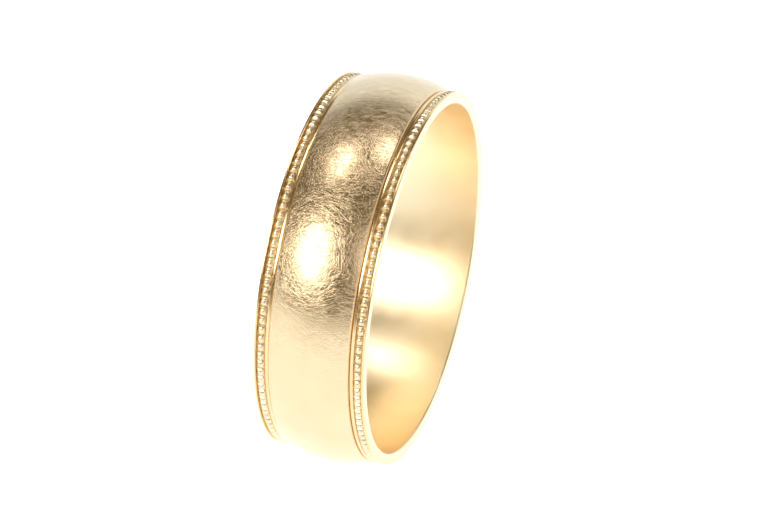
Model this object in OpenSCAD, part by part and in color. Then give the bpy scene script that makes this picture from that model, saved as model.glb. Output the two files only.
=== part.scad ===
// A milgrain-edged wedding band, built from closed rings that slide onto an inner band.
// The band stands on its crown with the finger hole along X, +Z up, and the origin at its centre.
// Each edge carries three applied wires: a plain outer wire, a beaded wire and a plain inner wire.
// Between the two inner wires lies the domed centre band. Hard solder holds them on the inner band.

/* [Band] */
// Inside diameter, which is the ring size
bore_d = 18.95; // [15:0.05:22.5]
// Width of the band from end face to end face
band_w = 6; // [5:0.1:8]
// Thickness of the band at its edges
edge_t = 0.625; // [0.6:0.005:0.9]
// Height of the crown above the edges
crown_rise = 0.45; // [0.3:0.01:0.7]
// Radius that eases the finger hole at both ends
bore_ease = 0.12; // [0.06:0.01:0.18]

/* [Inner band] */
// Thickness of the band that lines the finger hole
inner_band_t = 0.285; // [0.25:0.005:0.32]
// Thickness of the solder that joins the wires and the dome to it
solder_t = 0.04; // [0.03:0.005:0.05]

/* [Edge wires] */
// Width of each plain outer wire
outer_wire_w = 0.12; // [0.1:0.01:0.3]
// Width of each beaded wire
beaded_wire_w = 0.47; // [0.35:0.01:0.55]
// Width of each plain inner wire
inner_wire_w = 0.22; // [0.15:0.01:0.35]
// Depth of the inner wire's top below the edge
inner_wire_drop = 0.08; // [0.04:0.01:0.12]
// Depth of the groove where the inner wire meets the dome
groove_depth = 0.05; // [0.02:0.01:0.08]
// Radius that rounds the band's outer corners
corner_r = 0.04; // [0.02:0.01:0.08]

/* [Milgrain] */
// Distance from bead to bead along the wire
bead_pitch = 0.51; // [0.46:0.01:0.7]
// Height of the beads above the strip that carries them
bead_rise = 0.2; // [0.12:0.005:0.2]

/* [Dome] */
// Height of the dome's side walls above the inner wires
dome_wall = 0.12; // [0.05:0.01:0.2]

/* [Hidden] */
$fn = 240;

gold = "#d9b877";
bright_gold = "#e6c98c";
solder_gold = "#cdb183";

// Radii from the finger hole outwards
bore_r = bore_d / 2;
solder_inner_r = bore_r + inner_band_t;
seat_r = solder_inner_r + solder_t;
edge_r = bore_r + edge_t;
crown_r = edge_r + crown_rise;
inner_wire_r = edge_r - inner_wire_drop;
dome_edge_r = inner_wire_r + dome_wall;

// Places along the finger hole, as distances from the middle of the band
half_w = band_w / 2;
outer_wire_x = half_w - outer_wire_w;
beaded_wire_x = outer_wire_x - beaded_wire_w;
dome_x = beaded_wire_x - inner_wire_w;

// The dome is an arc through both its edges and the crown
dome_rise = crown_r - dome_edge_r;
dome_arc_r = (dome_x * dome_x + dome_rise * dome_rise) / (2 * dome_rise);

// The beads are balls flattened below and let into the strip, clear of each other and the wires
bead_gap = 0.005;
bead_r = min(beaded_wire_w, bead_pitch) / 2 - bead_gap;
bead_centre_r = edge_r + 0.01 - bead_r;
bead_strip_r = max(seat_r + 0.03, edge_r + 0.01 - bead_rise);
bead_base_r = (seat_r + bead_strip_r) / 2;
bead_x = beaded_wire_x + beaded_wire_w / 2;
bead_count = round(2 * PI * bead_centre_r / bead_pitch);

// Turns a section drawn with radius across and width upwards into a ring about the X axis
module ring_about_x() {
    rotate([0, 90, 0]) rotate_extrude() children();
}

// A rectangle from radius r0 to r1 and from width position x0 to x1
module section(r0, r1, x0, x1) {
    translate([r0, x0]) square([r1 - r0, x1 - x0]);
}

// The small square minus a quarter circle that, cut from a section, rounds one of its corners.
// r, x is the corner, and r_way and x_way point from it into the metal.
module corner_waste(r, x, r_way, x_way, radius) {
    translate([r, x]) difference() {
        translate([min(0, r_way * radius), min(0, x_way * radius)]) square(radius);
        translate([r_way * radius, x_way * radius]) circle(radius);
    }
}

// The plain band that meets the finger, with both ends of its hole eased
module inner_band() {
    color(gold) ring_about_x() difference() {
        section(bore_r, solder_inner_r, -half_w, half_w);
        for (side = [-1, 1]) corner_waste(bore_r, side * half_w, 1, -side, bore_ease);
    }
}

// The layer of solder between the inner band and everything laid over it
module solder_film() {
    color(solder_gold) ring_about_x() section(solder_inner_r, seat_r, -half_w, half_w);
}

// The satin band in the middle, flat below and crowned above
module domed_centre() {
    color(gold) ring_about_x() intersection() {
        section(seat_r, crown_r + 1, -dome_x, dome_x);
        translate([crown_r - dome_arc_r, 0]) circle(dome_arc_r);
    }
}

// A plain wire whose corner beside the dome is bevelled, which makes the fine groove there
module inner_wire(side) {
    color(bright_gold) ring_about_x() polygon([
        [seat_r, side * dome_x],
        [inner_wire_r - groove_depth, side * dome_x],
        [inner_wire_r, side * (dome_x + groove_depth)],
        [inner_wire_r, side * beaded_wire_x],
        [seat_r, side * beaded_wire_x]
    ]);
}

// One bead, standing on the Z axis at the band's radius
module bead() {
    rotate_extrude($fn = 48) intersection() {
        translate([0, bead_centre_r]) circle(bead_r);
        translate([0, bead_base_r]) square([bead_r, 2 * bead_r]);
    }
}

// A strip with a row of beads along it
module milgrain_wire(side) {
    color(bright_gold) {
        ring_about_x() section(
            seat_r, bead_strip_r,
            side * bead_x - beaded_wire_w / 2,
            side * bead_x + beaded_wire_w / 2
        );
        for (i = [0 : bead_count - 1]) {
            rotate([i * 360 / bead_count, 0, 0]) translate([side * bead_x, 0, 0]) bead();
        }
    }
}

// The plain wire along the end face, with its outer corner rounded
module outer_wire(side) {
    color(bright_gold) ring_about_x() difference() {
        section(
            seat_r, edge_r,
            side > 0 ? outer_wire_x : -half_w,
            side > 0 ? half_w : -outer_wire_x
        );
        corner_waste(edge_r, side * half_w, -1, -side, corner_r);
    }
}

inner_band();
solder_film();
domed_centre();
inner_wire(-1);  // left_inner_wire
milgrain_wire(-1);  // left_milgrain_wire
outer_wire(-1);  // left_outer_wire
inner_wire(1);  // right_inner_wire
milgrain_wire(1);  // right_milgrain_wire
outer_wire(1);  // right_outer_wire
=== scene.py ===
# %% [markdown]
# # A milgrain wedding band
# The band is nine closed rings on one axis. An inner band lines the finger hole, a film of solder
# covers it, and seven rings lie on the solder: the satin dome in the middle, and on each side of it a
# polished wire, a beaded wire and a thin rim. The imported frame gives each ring's true place and size,
# and every piece below is modelled over its own node of that frame, so nothing has to be fitted.

# %% Load the frame
import math
import random

import bmesh
import bpy
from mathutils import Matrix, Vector


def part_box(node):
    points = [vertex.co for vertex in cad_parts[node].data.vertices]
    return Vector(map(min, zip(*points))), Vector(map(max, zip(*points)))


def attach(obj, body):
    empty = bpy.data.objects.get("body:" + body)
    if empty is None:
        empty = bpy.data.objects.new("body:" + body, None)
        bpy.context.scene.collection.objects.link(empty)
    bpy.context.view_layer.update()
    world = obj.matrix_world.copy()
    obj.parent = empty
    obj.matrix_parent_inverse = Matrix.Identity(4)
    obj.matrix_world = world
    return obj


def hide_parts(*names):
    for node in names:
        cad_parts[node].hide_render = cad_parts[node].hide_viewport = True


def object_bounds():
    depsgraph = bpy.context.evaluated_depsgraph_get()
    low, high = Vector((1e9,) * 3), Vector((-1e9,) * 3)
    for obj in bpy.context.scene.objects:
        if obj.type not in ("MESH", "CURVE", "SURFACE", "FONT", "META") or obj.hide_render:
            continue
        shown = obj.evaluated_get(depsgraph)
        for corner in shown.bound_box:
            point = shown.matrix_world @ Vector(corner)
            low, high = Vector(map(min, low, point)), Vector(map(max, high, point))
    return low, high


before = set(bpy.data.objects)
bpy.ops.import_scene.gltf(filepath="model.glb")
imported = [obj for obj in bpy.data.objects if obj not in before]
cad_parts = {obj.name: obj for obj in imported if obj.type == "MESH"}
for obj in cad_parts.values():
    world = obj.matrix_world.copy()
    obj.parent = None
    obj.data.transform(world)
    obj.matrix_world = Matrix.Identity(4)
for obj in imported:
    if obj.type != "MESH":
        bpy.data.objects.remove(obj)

cad_box = [list(corner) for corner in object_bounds()]
print("the band's box in mm", [[round(1000 * c, 3) for c in corner] for corner in cad_box])

# %% [markdown]
# ## The camera
# A ring this small is shot from about a hand's span away with a long lens, which keeps the near
# and far edges almost the same size. The camera looks down at the band from a little to the right, so
# the satin face, one edge and the inside of the hole all show. It could be aimed with a constraint,
# but a view direction and a place are enough, and they stay readable: the direction is given as an
# azimuth from the front and a height above the table.

# %% Place the camera
MM = 0.001
azimuth, height = math.radians(18.83), math.radians(36.57)
distance, shift_right, shift_up = 209.5 * MM, 0.649 * MM, 0.625 * MM
lens_mm, sensor_mm = 184.1, 36
right = Vector((math.cos(azimuth), math.sin(azimuth), 0))
back = Vector((
    math.sin(azimuth) * math.cos(height),
    -math.cos(azimuth) * math.cos(height),
    math.sin(height),
))
up = back.cross(right)
camera_data = bpy.data.cameras.new("camera")
camera_data.lens, camera_data.sensor_width, camera_data.clip_start = lens_mm, sensor_mm, 10 * MM
camera = bpy.data.objects.new("camera", camera_data)
bpy.context.scene.collection.objects.link(camera)
camera.location = distance * back + shift_right * right + shift_up * up
camera.rotation_euler = back.to_track_quat("Z", "Y").to_euler()
bpy.context.scene.camera = camera
print("camera at", [round(1000 * c, 1) for c in camera.location], "mm")

# %% [markdown]
# ## Measures
# Each ring's section is set by the radii and the places along the finger hole where one ring ends and
# the next begins. They are read from the frame's boxes where a box shows them: a ring about the X axis
# reaches its outer radius at the top or the foot of its box. The few that no box shows are written out:
# the hole, the height of the dome's side walls above the step, the metal between the beads, and a
# radius just above that metal, at which a bead's length along the row is worked out. The number of
# beads is the one that the CAD gets from their pitch.

# %% Read the radii and widths
def outer_radius(node):
    low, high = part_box(node)
    return max(-low[2], high[2])


BORE_R = 9.475 * MM
SOLDER_R, SEAT_R = outer_radius("inner_band"), outer_radius("solder_film")
CROWN_R, STEP_R = outer_radius("domed_centre"), outer_radius("left_inner_wire")
RIM_R, BEAD_TOP_R = outer_radius("left_outer_wire"), outer_radius("left_milgrain_wire")
HALF_W, RIM_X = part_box("right_outer_wire")[1][0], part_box("right_outer_wire")[0][0]
BEAD_X0, DOME_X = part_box("right_milgrain_wire")[0][0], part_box("domed_centre")[1][0]
DOME_WALL = 0.12 * MM
DOME_EDGE_R = STEP_R + DOME_WALL
VALLEY_R, BEAD_LENGTH_R = 9.96 * MM, 10 * MM
BEADS = 122
radii = (BORE_R, SOLDER_R, SEAT_R, STEP_R, RIM_R, BEAD_TOP_R, CROWN_R)
print("radii in mm", [round(r / MM, 3) for r in radii])
print("places along the hole in mm", [round(x / MM, 3) for x in (DOME_X, BEAD_X0, RIM_X, HALF_W)])

# %% [markdown]
# ## Turning a section into a ring
# A jeweller turns or draws a strip to a section and bends it round. In Blender the same ring can come
# from a torus, from a bent strip or from a section that is spun about the axis. Spinning is used here,
# because the section is drawn once at its true size and the ring is exact all the way round. The
# section starts as a flat primitive in the plane of the axis and is shaped in edit mode. Then its face
# is deleted, and its outline is spun in 366 steps, fine enough that no facet shows.

# %% Helpers for sections
STEPS = 366
NEAR = 0.01 * MM
MERGE = 0.0005 * MM


def start_section(add, **where):
    """Add a primitive standing in the plane of the axis, apply its place, and open it for editing."""
    bpy.ops.object.select_all(action="DESELECT")
    add(rotation=(math.pi / 2, 0, 0), **where)
    bpy.ops.object.transform_apply(location=True, rotation=True, scale=True)
    bpy.ops.object.mode_set(mode="EDIT")
    bpy.ops.mesh.select_mode(type="VERT")


def start_strip(x0, x1, r0, r1):
    """Start a section as a rectangle from x0 to x1 along the hole and from radius r0 to r1."""
    middle = ((x0 + x1) / 2, 0, (r0 + r1) / 2)
    start_section(bpy.ops.mesh.primitive_plane_add, size=1, location=middle)
    bpy.ops.transform.resize(value=(x1 - x0, 1, r1 - r0), center_override=middle)


def pick(kind, test):
    """Select only those "verts", "edges" or "faces" of the mesh being edited that pass the test."""
    bpy.ops.mesh.select_mode(type={"verts": "VERT", "edges": "EDGE", "faces": "FACE"}[kind])
    bpy.ops.mesh.select_all(action="DESELECT")
    mesh = bmesh.from_edit_mesh(bpy.context.edit_object.data)
    for part in getattr(mesh, kind):
        if test(part):
            part.select_set(True)
    bmesh.update_edit_mesh(bpy.context.edit_object.data)


def round_corner(x, r, radius, segments):
    """Round the one corner of the section that lies at x along the hole and at radius r."""
    pick("verts", lambda v: abs(v.co.x - x) < NEAR and abs(v.co.z - r) < NEAR)
    bpy.ops.mesh.bevel(
        affect="VERTICES", offset=radius, offset_type="OFFSET", segments=segments, profile=0.5
    )


def spin_section(name):
    """Spin the section's outline about the hole's axis into a named, smooth, outward-facing ring."""
    bpy.ops.mesh.select_all(action="SELECT")
    bpy.ops.mesh.delete(type="ONLY_FACE")
    bpy.ops.mesh.select_all(action="SELECT")
    bpy.ops.mesh.spin(steps=STEPS, angle=2 * math.pi, center=(0, 0, 0), axis=(1, 0, 0))
    bpy.ops.mesh.select_all(action="SELECT")
    bpy.ops.mesh.remove_doubles(threshold=MERGE)
    bpy.ops.mesh.normals_make_consistent(inside=False)
    bpy.ops.object.mode_set(mode="OBJECT")
    bpy.ops.object.shade_smooth_by_angle(angle=math.radians(35))
    ring = bpy.context.object
    ring.name = ring.data.name = name
    print(name, len(ring.data.vertices), "vertices,", len(ring.data.polygons), "faces")
    return ring


# %% [markdown]
# ## A map that follows the metal
# Scratches and polishing marks run round the band or across it, so a pattern needs to know how far
# round and how far across a point is. A UV map in millimetres gives that: U is the distance round the
# rim, and V grows by the place along the hole plus the distance from the axis, so that it moves on
# along flat tops and along side walls alike. Each face takes its angles from its own middle, so the
# face where the turn closes isn't smeared back over the whole band.

# %% Give a ring its map in millimetres
MAP = "round_and_across_mm"
RIM_MM = 10.1


def map_in_mm(ring):
    layer = ring.data.uv_layers.new(name=MAP)
    for face in ring.data.polygons:
        middle = math.atan2(face.center.y, face.center.z)
        for corner in face.loop_indices:
            x, y, z = ring.data.vertices[ring.data.loops[corner].vertex_index].co / MM
            turn = math.atan2(y, z)
            turn += 2 * math.pi * round((middle - turn) / (2 * math.pi))
            layer.data[corner].uv = (turn * RIM_MM, x + math.hypot(y, z))


# %% [markdown]
# ## The inner band
# It lines the finger hole and carries everything else. Its hole is plain, and a jeweller eases both
# ends of it so that it slides over a knuckle. The section is a strip with two rounded corners.

# %% Model the inner band
BORE_EASE = 0.12 * MM
start_strip(-HALF_W, HALF_W, BORE_R, SOLDER_R)
for side in (-1, 1):
    round_corner(side * HALF_W, BORE_R, BORE_EASE, segments=6)
inner_band = spin_section("inner_band_visual")
map_in_mm(inner_band)

# %% [markdown]
# ## The solder
# Hard solder flows between the inner band and what lies on it. Only its edge shows, as a hair-thin
# ring in each end face, polished flush. It is a plain strip, spun like the rest so that its edges meet
# its neighbours exactly.

# %% Model the solder
start_strip(-HALF_W, HALF_W, SOLDER_R, SEAT_R)
solder = spin_section("solder_visual")
map_in_mm(solder)

# %% [markdown]
# ## The domed centre
# The middle of the band is crowned, like a half-round wire rolled wide. The true section is an arc cut
# off by two side walls and a flat seat. A bevelled strip would only come close to it, so the section
# starts as a large disc and three bisecting cuts leave the crowned piece of it. The corners where the
# dome meets its side walls are softened, as any hand-finished edge is.

# %% Model the dome
SHOULDER = 0.1 * MM
rise = CROWN_R - DOME_EDGE_R
arc_r = (DOME_X**2 + rise**2) / (2 * rise)
start_section(
    bpy.ops.mesh.primitive_circle_add,
    vertices=320, radius=arc_r, fill_type="NGON", location=(0, 0, CROWN_R - arc_r),
)
cuts = (
    ((DOME_X, 0, 0), (1, 0, 0)),
    ((-DOME_X, 0, 0), (-1, 0, 0)),
    ((0, 0, SEAT_R), (0, 0, -1)),
)
for place, outwards in cuts:
    bpy.ops.mesh.select_all(action="SELECT")
    bpy.ops.mesh.bisect(
        plane_co=place, plane_no=outwards, use_fill=False, clear_outer=True, threshold=1e-8
    )
for side in (-1, 1):
    round_corner(side * DOME_X, DOME_EDGE_R, SHOULDER, segments=6)
dome = spin_section("domed_centre_visual")
map_in_mm(dome)

# %% [markdown]
# ## The plain wires
# Beside the dome lies a polished wire, a little lower than the rim. Its corner towards the dome is cut
# back, which leaves the fine dark groove that sets the dome off. Along each end face lies the thin rim,
# with its outer corner worn round. Both are strips with one or two shaped corners, made once for each
# side of the band.

# %% Model the four plain wires
GROOVE_CORNER, STEP_CORNER = 0.08 * MM, 0.06 * MM
WORN_CORNER, RIM_CORNER = 0.04 * MM, 0.02 * MM
SIDES = (("left", -1), ("right", 1))
rings = {"inner_band": inner_band, "solder_film": solder, "domed_centre": dome}
for word, side in SIDES:
    start_strip(*sorted((side * DOME_X, side * BEAD_X0)), SEAT_R, STEP_R)
    round_corner(side * DOME_X, STEP_R, GROOVE_CORNER, segments=5)
    round_corner(side * BEAD_X0, STEP_R, STEP_CORNER, segments=4)
    rings[word + "_inner_wire"] = spin_section(word + "_inner_wire_visual")
    start_strip(*sorted((side * RIM_X, side * HALF_W)), SEAT_R, RIM_R)
    round_corner(side * HALF_W, RIM_R, WORN_CORNER, segments=4)
    round_corner(side * RIM_X, RIM_R, RIM_CORNER, segments=2)
    rings[word + "_outer_wire"] = spin_section(word + "_outer_wire_visual")
    for kind in ("_inner_wire", "_outer_wire"):
        map_in_mm(rings[word + kind])

# %% [markdown]
# ## The milgrain
# Milgrain is a row of tiny beads that a knurled wheel rolls into a wire. The beads touch along the
# row and slope away on all four sides, so small triangles open between their corners, darkened further
# by the painted shade of the metal below them. They could be a bump pattern or small spheres, but the
# wheel leaves blunt pyramids that flash one side at a time, so each bead is real: a block whose top is
# extruded and drawn in, with its ridges rounded over. One is modelled, and a spin that only duplicates
# sets the row. Then each bead is given its own slight size and place, because a hand-held wheel never
# rolls two alike.

# %% Model one bead and spin it into a row
BEAD_TURN = 2 * math.pi / BEADS
FOOT, TOP_SHARE, RIDGE = 0.04 * MM, 0.36, 0.055 * MM


def bead_row(x):
    """One bead, let into the strip by its foot, and its copies all round the band."""
    across, along = RIM_X - BEAD_X0, 2 * math.pi * BEAD_LENGTH_R / BEADS
    bpy.ops.object.select_all(action="DESELECT")
    bpy.ops.mesh.primitive_cube_add(
        size=1, location=(x, 0, VALLEY_R - FOOT / 2), scale=(across, along, FOOT)
    )
    bpy.ops.object.transform_apply(location=True, rotation=True, scale=True)
    bpy.ops.object.mode_set(mode="EDIT")
    pick("faces", lambda face: face.normal.z > 0.9)
    bpy.ops.mesh.extrude_region_move(
        TRANSFORM_OT_translate={"value": (0, 0, BEAD_TOP_R - VALLEY_R)}
    )
    bpy.ops.transform.resize(value=(TOP_SHARE, TOP_SHARE, 1), center_override=(x, 0, BEAD_TOP_R))
    pick("edges", lambda edge: max(v.co.z for v in edge.verts) > BEAD_TOP_R - NEAR)
    bpy.ops.mesh.bevel(offset=RIDGE, segments=2)
    bpy.ops.mesh.select_all(action="SELECT")
    bpy.ops.mesh.spin(
        steps=BEADS - 1, dupli=True, angle=2 * math.pi * (BEADS - 1) / BEADS,
        center=(0, 0, 0), axis=(1, 0, 0),
    )
    bpy.ops.mesh.select_all(action="SELECT")
    bpy.ops.mesh.normals_make_consistent(inside=False)
    bpy.ops.object.mode_set(mode="OBJECT")
    bpy.ops.object.shade_smooth_by_angle(angle=math.radians(50))
    return bpy.context.object


# %% Loosen the row
SLIP = 0.0012


def loosen(beads, x, chance):
    """Give each bead its own size, height and place along the row. SLIP is an angle in radians."""
    wobble = [
        (chance.uniform(0.93, 1), chance.uniform(0.94, 1), chance.uniform(-1, 1))
        for _ in range(BEADS)
    ]
    for v in beads.data.vertices:
        turn, radius = math.atan2(v.co.y, v.co.z), math.hypot(v.co.y, v.co.z)
        number = round(turn / BEAD_TURN)
        size, lift, shift = wobble[number % BEADS]
        middle = BEAD_TURN * number
        turn = middle + (turn - middle) * size + shift * SLIP
        radius = VALLEY_R + (radius - VALLEY_R) * lift
        v.co = (x + (v.co.x - x) * size, radius * math.sin(turn), radius * math.cos(turn))


# %% Join each row to its strip
for word, side in SIDES:
    x, half = side * (BEAD_X0 + RIM_X) / 2, (RIM_X - BEAD_X0) / 2
    start_strip(x - half, x + half, SEAT_R, VALLEY_R)
    strip = spin_section(word + "_milgrain_visual")
    beads = bead_row(x)
    loosen(beads, x, random.Random(40 + side))
    strip.select_set(True)
    bpy.context.view_layer.objects.active = strip
    bpy.ops.object.join()
    print(word, "row", BEADS, "beads,", len(strip.data.polygons), "faces")
    rings[word + "_milgrain_wire"] = strip

# %% Let each piece stand for its node
for node_name, ring in rings.items():
    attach(ring, "root")
    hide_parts(node_name)
print(len(rings), "pieces stand for", len(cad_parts), "nodes")

# %% [markdown]
# ## Colour
# Colours are written as the hex values a paint program shows, and turned to the linear values that
# the renderer works with. One function adds a node to a material, with its settings and its links.

# %% Helpers for materials
def linear(hex_colour):
    parts = [int(hex_colour[i:i + 2], 16) / 255 for i in (1, 3, 5)]
    return [c / 12.92 if c <= 0.04045 else ((c + 0.055) / 1.055) ** 2.4 for c in parts] + [1]


def node(tree, kind, settings=None, **inputs):
    """Add a node. settings are its own properties; an input is a value or a node's output."""
    made = tree.nodes.new(kind)
    for key, value in (settings or {}).items():
        setattr(made, key, value)
    for key, value in inputs.items():
        socket = made.inputs[int(key[1:]) if key[1:].isdigit() else key.replace("_", " ")]
        if isinstance(value, bpy.types.NodeSocket):
            tree.links.new(value, socket)
        else:
            socket.default_value = value
    return made


def new_material(name):
    material = bpy.data.materials.new(name)
    material.use_nodes = True
    return material, material.node_tree, material.node_tree.nodes["Principled BSDF"]


# %% [markdown]
# ## Scratches
# Gold is soft, and a worn band is covered in hair scratches that run every way. Each one catches the
# light only where it lies square to it, so together they draw fine arcs round every highlight. One
# family of scratches is noise stretched along one direction and cut to its thin crests. Several
# families at scattered angles give the worn look. Most real hair scratches are finer than 0.02 mm; the
# dome's are drawn 0.035 and 0.045 mm wide, coarser than real ones, so that they show.

# %% Build a family of scratches
CREST = 0.12


def scratches(tree, angle, width_mm, length_mm, keep, bend=0.0):
    """Height 0 to 1 of thin scratches at that angle to the rim, in degrees.

    keep is how high a crest of the noise must be to count, so more keep means fewer scratches.
    bend is how far, in mm, a slow wave carries them off their straight line.
    """
    around = node(tree, "ShaderNodeUVMap", {"uv_map": MAP}).outputs["UV"]
    if bend:
        sway = node(
            tree, "ShaderNodeTexNoise", {"noise_dimensions": "2D"},
            Vector=around, Scale=0.5, Detail=1.0,
        )
        swing = node(
            tree, "ShaderNodeVectorMath", {"operation": "MULTIPLY_ADD"},
            _0=sway.outputs["Color"], _1=(bend, bend, 0), _2=around,
        )
        around = swing.outputs["Vector"]
    turned = node(
        tree, "ShaderNodeMapping", Vector=around, Rotation=(0, 0, math.radians(angle))
    )
    stretched = node(
        tree, "ShaderNodeMapping", Vector=turned.outputs["Vector"],
        Location=(angle, -angle, 0), Scale=(1 / length_mm, 1 / width_mm, 1),
    )
    crests = node(
        tree, "ShaderNodeTexNoise", {"noise_dimensions": "2D"},
        Vector=stretched.outputs["Vector"], Scale=1.0, Detail=1.0, Roughness=0.5,
    )
    cut = node(
        tree, "ShaderNodeMapRange", {"interpolation_type": "SMOOTHSTEP"},
        Value=crests.outputs["Fac"], From_Min=keep, From_Max=keep + CREST,
    )
    return cut.outputs["Result"]


# %% Cut scratches into a surface, and let its colour drift
def cut_in(tree, surface, families, strength, depth):
    """Add up the families of scratches and press them in, each up to depth metres deep."""
    total = families[0]
    for family in families[1:]:
        total = node(
            tree, "ShaderNodeMath", {"operation": "ADD"}, _0=total, _1=family
        ).outputs["Value"]
    bump = node(
        tree, "ShaderNodeBump", {"invert": True}, Strength=strength, Distance=depth, Height=total
    )
    tree.links.new(bump.outputs["Normal"], surface.inputs["Normal"])


def drift(tree, surface, colours, roughness, scale, detail):
    """Let colour and roughness drift between two values each, in patches. scale is per mm."""
    around = node(tree, "ShaderNodeUVMap", {"uv_map": MAP}).outputs["UV"]
    patches = node(
        tree, "ShaderNodeTexNoise", {"noise_dimensions": "2D"},
        Vector=around, Scale=scale, Detail=detail,
    ).outputs["Fac"]
    tint = node(
        tree, "ShaderNodeMix", {"data_type": "RGBA"},
        Factor=patches, _6=linear(colours[0]), _7=linear(colours[1]),
    )
    tree.links.new(tint.outputs[2], surface.inputs["Base Color"])
    rough = node(
        tree, "ShaderNodeMapRange", Value=patches,
        From_Min=0.3, From_Max=0.7, To_Min=roughness[0], To_Max=roughness[1],
    )
    tree.links.new(rough.outputs["Result"], surface.inputs["Roughness"])


# %% [markdown]
# ## 14k yellow gold, satin and worn
# 14k gold is three fifths gold with copper and silver, so it is paler than pure gold. The dome was
# finished with a fine abrasive. The slight roughness of the metal softens the edge of each highlight,
# and the scratches spread it further, into a glow with fine arcs. Wear adds small patches that are a
# little brighter or duller.

# %% Make the satin gold
FAMILIES, FIRST_ANGLE, ANGLE_STEP = 8, 8, 22.5
WIDTHS_MM, LENGTHS_MM = (0.045, 0.035), (1.1, 0.8)


def satin_gold():
    material, tree, surface = new_material("14k yellow gold, satin-worn")
    drift(tree, surface, ("#EED0A4", "#F3D8AF"), (0.16, 0.2), scale=0.8, detail=3.0)
    families = [
        scratches(
            tree, FIRST_ANGLE + ANGLE_STEP * i, WIDTHS_MM[i % 2], LENGTHS_MM[i % 2],
            keep=0.59, bend=0.15,
        )
        for i in range(FAMILIES)
    ]
    cut_in(tree, surface, families, strength=0.5, depth=0.0034 * MM)
    surface.inputs["Metallic"].default_value = 1.0
    return material


# %% [markdown]
# ## 14k yellow gold, polished
# The wires were buffed with rouge, so they mirror what is around them. Buffing never leaves a perfect
# mirror: faint lines run the way the wheel ran, round the band, and fingers leave a slight haze. The
# lines are drawn 0.05 and 0.09 mm wide, far coarser than real buffing marks, so that they show. The
# hole has a rougher version, and its paler colour is a painted highlight glow. A real one is usually as
# polished as the wires: this version stands in for the blur that a real lens gives to the far side of
# the hole, which spreads its bright highlights.

# %% Make the polished gold
# The second, paler pair of colours is a painted highlight glow for the hole, not a colour the gold has.
PALE, PALER_PAINTED_GLOW = ("#F0CE98", "#F5D8A8"), ("#F4DDB2", "#F8E5C2")


def polished_gold(name, roughness, strength, hairlines=True, colours=PALE):
    """Gold with buffing lines that run round the band, and hairlines across them if asked."""
    material, tree, surface = new_material(name)
    drift(tree, surface, colours, roughness, scale=0.6, detail=4.0)
    lines = [scratches(tree, 1, 0.05, 6.0, 0.5), scratches(tree, -2, 0.09, 9.0, 0.5)]
    if hairlines:
        for angle, length_mm in ((52, 1.5), (117, 1.2)):
            lines.append(scratches(tree, angle, 0.045, length_mm, keep=0.62, bend=0.6))
    cut_in(tree, surface, lines, strength, depth=0.006 * MM)
    surface.inputs["Metallic"].default_value = 1.0
    return material


# %% [markdown]
# ## 14k yellow gold, milgrained
# The wheel burnishes the top of each bead, so the beads shine, and their tops are painted a paler gold
# as a painted sheen. Between the beads the metal is duller and darker: the darkening with depth is
# painted shade, broken up by a noise of grime where polish and skin grease stay. How deep a point lies
# is its distance from the axis, worked out from the object's own coordinates.

# %% Make the milgrained gold
# Below the first radius the metal takes the full painted shade between the beads; from the second up it
# takes the paler painted sheen of the bead tops.
SHADE_AND_GRIME_TO, PAINTED_SHEEN_FROM = 9.95 * MM, 9.99 * MM


def milgrain_gold():
    material, tree, surface = new_material("14k yellow gold, milgrained")
    place = node(tree, "ShaderNodeTexCoord").outputs["Object"]
    flat = node(
        tree, "ShaderNodeVectorMath", {"operation": "MULTIPLY"}, _0=place, _1=(0, 1, 1)
    )
    radius = node(
        tree, "ShaderNodeVectorMath", {"operation": "LENGTH"}, _0=flat.outputs["Vector"]
    )
    depth = node(
        tree, "ShaderNodeMapRange", {"interpolation_type": "SMOOTHSTEP"},
        Value=radius.outputs["Value"], From_Min=SHADE_AND_GRIME_TO, From_Max=PAINTED_SHEEN_FROM,
    )
    grime = node(tree, "ShaderNodeTexNoise", Vector=place, Scale=900.0, Detail=3.0)
    height = node(
        tree, "ShaderNodeMath", {"operation": "MULTIPLY_ADD", "use_clamp": True},
        _0=grime.outputs["Fac"], _1=0.5, _2=depth.outputs["Result"],
    )
    reach = node(
        tree, "ShaderNodeMath", {"operation": "SUBTRACT", "use_clamp": True},
        _0=height.outputs["Value"], _1=0.2,
    ).outputs["Value"]
    # Painted shade and painted sheen: dark #BD9A66 in the recesses between the beads, mixed with grime
    # noise, up to pale #FAE6C0 on the bead tops.
    tint = node(
        tree, "ShaderNodeMix", {"data_type": "RGBA"},
        Factor=reach, _6=linear("#BD9A66"), _7=linear("#FAE6C0"),
    )
    tree.links.new(tint.outputs[2], surface.inputs["Base Color"])
    rough = node(tree, "ShaderNodeMapRange", Value=reach, To_Min=0.4, To_Max=0.25)
    tree.links.new(rough.outputs["Result"], surface.inputs["Roughness"])
    bump = node(
        tree, "ShaderNodeBump", Strength=0.3, Distance=0.004 * MM, Height=grime.outputs["Fac"]
    )
    tree.links.new(bump.outputs["Normal"], surface.inputs["Normal"])
    surface.inputs["Metallic"].default_value = 1.0
    return material


# %% Put the materials on
satin = satin_gold()
polished = polished_gold("14k yellow gold, polished", (0.16, 0.22), 0.15)
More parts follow.
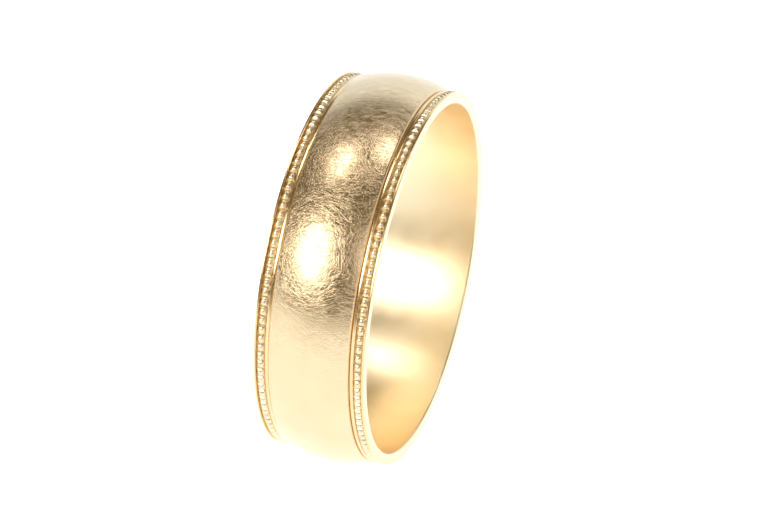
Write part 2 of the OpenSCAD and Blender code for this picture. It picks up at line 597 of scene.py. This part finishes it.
# The hole's gold is rougher, and its paler colour is a painted highlight glow.
buffed = polished_gold(
    "14k yellow gold, rough inside, paler as a painted glow", (0.32, 0.38), 0.1, hairlines=False, colours=PALER_PAINTED_GLOW
)
solder_gold = polished_gold("hard gold solder, polished flush", (0.12, 0.18), 0.15)
milgrained = milgrain_gold()
finishes = {
    "inner_band": ("polished_gold", buffed),
    "solder_film": ("gold_solder", solder_gold),
    "domed_centre": ("satin_gold", satin),
}
for word, _ in SIDES:
    finishes[word + "_inner_wire"] = finishes[word + "_outer_wire"] = ("polished_gold", polished)
    finishes[word + "_milgrain_wire"] = ("milgrain_gold", milgrained)
for node_name, (slot_name, material) in finishes.items():
    rings[node_name].data.materials.clear()
    rings[node_name].data.materials.append(material)
print("materials", sorted({m.name for _, m in finishes.values()}))

# %% [markdown]
# ## The paper sweep
# The band stands on white paper that runs back and curves up behind it, as product photographers lay
# it. A metal shows only what it mirrors, so the paper is half of the picture: it fills the lower part
# of the dome with cream, and its risen back lights the top of the band. The sheet is a plane whose
# back edge is extruded up, and the fold is bevelled into a curve. It also glows, with a slightly blue
# light that is strongest just behind the band and falls off further back, as a lamp under it would.

# %% Lay the paper
SHEET, SHEET_Y, SHEET_RISE, SHEET_CURVE = 2.4, -0.3, 0.5, 0.3
BACK_EDGE, FOOT_Z = 0.8, 0.1
bpy.ops.object.select_all(action="DESELECT")
bpy.ops.mesh.primitive_plane_add(size=SHEET, location=(0, SHEET_Y, cad_box[0][2]))
paper_sheet = bpy.context.object
paper_sheet.name = "paper_sweep"
bpy.ops.object.transform_apply(location=True, rotation=True, scale=True)
bpy.ops.object.mode_set(mode="EDIT")
pick("edges", lambda edge: all(v.co.y > BACK_EDGE for v in edge.verts))
bpy.ops.mesh.extrude_region_move(TRANSFORM_OT_translate={"value": (0, 0, SHEET_RISE)})
pick("edges", lambda edge: all(v.co.y > BACK_EDGE and v.co.z < FOOT_Z for v in edge.verts))
bpy.ops.mesh.bevel(offset=SHEET_CURVE, segments=16)
bpy.ops.object.mode_set(mode="OBJECT")
bpy.ops.object.shade_smooth()
print("paper", len(paper_sheet.data.polygons), "faces")

# %% Make the paper glow
paper, tree, surface = new_material("white paper sweep, lit from behind")
place = node(tree, "ShaderNodeTexCoord").outputs["Object"]
fibre = node(tree, "ShaderNodeTexNoise", Vector=place, Scale=60.0, Detail=2.0)
tint = node(
    tree, "ShaderNodeMix", {"data_type": "RGBA"},
    Factor=fibre.outputs["Fac"], _6=linear("#F4F3F1"), _7=linear("#FAFAF9"),
)
tree.links.new(tint.outputs[2], surface.inputs["Base Color"])
depth = node(tree, "ShaderNodeSeparateXYZ", Vector=place)
rising, falling = [
    node(
        tree, "ShaderNodeMapRange", {"interpolation_type": "SMOOTHSTEP"},
        Value=depth.outputs["Y"], From_Min=near, From_Max=far, To_Min=before, To_Max=behind,
    ).outputs["Result"]
    for near, far, before, behind in ((-0.02, 0.01, 0.74, 1.15), (0.015, 0.08, 1.0, 0.58))
]
glow = node(tree, "ShaderNodeMath", {"operation": "MULTIPLY"}, _0=rising, _1=falling)
tree.links.new(glow.outputs["Value"], surface.inputs["Emission Strength"])
surface.inputs["Roughness"].default_value = 0.9
surface.inputs["Emission Color"].default_value = linear("#DAEDFF")
paper_sheet.data.materials.append(paper)

# %% [markdown]
# ## The room and the lights
# Above the table the band mirrors a dim, slightly warm room and five soft lights. The key light is
# large and stands to the left of the camera. One more is high on the left and one high behind. Two
# broad, weak ones on the right stand in for white cards. Each is a round area light turned towards the
# band. The room is a plain sky, almost white at the horizon and dim above it.

# %% Light the band
LIGHT_DISTANCE = 0.6


def soft_light(name, turn, lift, radius, watts):
    """A round light at that turn from the front and lift above the table, both in degrees."""
    turn, lift = math.radians(turn), math.radians(lift)
    way = Vector((math.sin(turn) * math.cos(lift), -math.cos(turn) * math.cos(lift), math.sin(lift)))
    data = bpy.data.lights.new(name, "AREA")
    data.shape, data.size, data.energy = "DISK", 2 * radius, watts
    light = bpy.data.objects.new(name, data)
    bpy.context.scene.collection.objects.link(light)
    light.location = way * LIGHT_DISTANCE
    light.rotation_euler = way.to_track_quat("Z", "Y").to_euler()
    return light


soft_light("key light", -28, 37, 0.145, 1.65)
soft_light("high light", -110, 70, 0.10, 0.5)
soft_light("rear light", 150, 65, 0.085, 0.36)
soft_light("right card", 100, 12, 0.22, 0.4)
soft_light("fill card", 50, 35, 0.2, 0.5)

# %% Surround it with the room
world = bpy.data.worlds.new("room")
bpy.context.scene.world = world
world.use_nodes = True
tree = world.node_tree
way = node(tree, "ShaderNodeTexCoord").outputs["Generated"]
lift = node(tree, "ShaderNodeSeparateXYZ", Vector=way)
ramp = node(tree, "ShaderNodeValToRGB", Fac=lift.outputs["Z"])
sky = ramp.color_ramp
sky.elements[0].position, sky.elements[0].color = 0.04, linear("#F4EEE6")
sky.elements[1].position, sky.elements[1].color = 0.25, linear("#6D6554")
sky.elements.new(0.1).color = linear("#847A68")
tree.links.new(ramp.outputs["Color"], tree.nodes["Background"].inputs["Color"])
bpy.context.scene.view_settings.view_transform = "Standard"
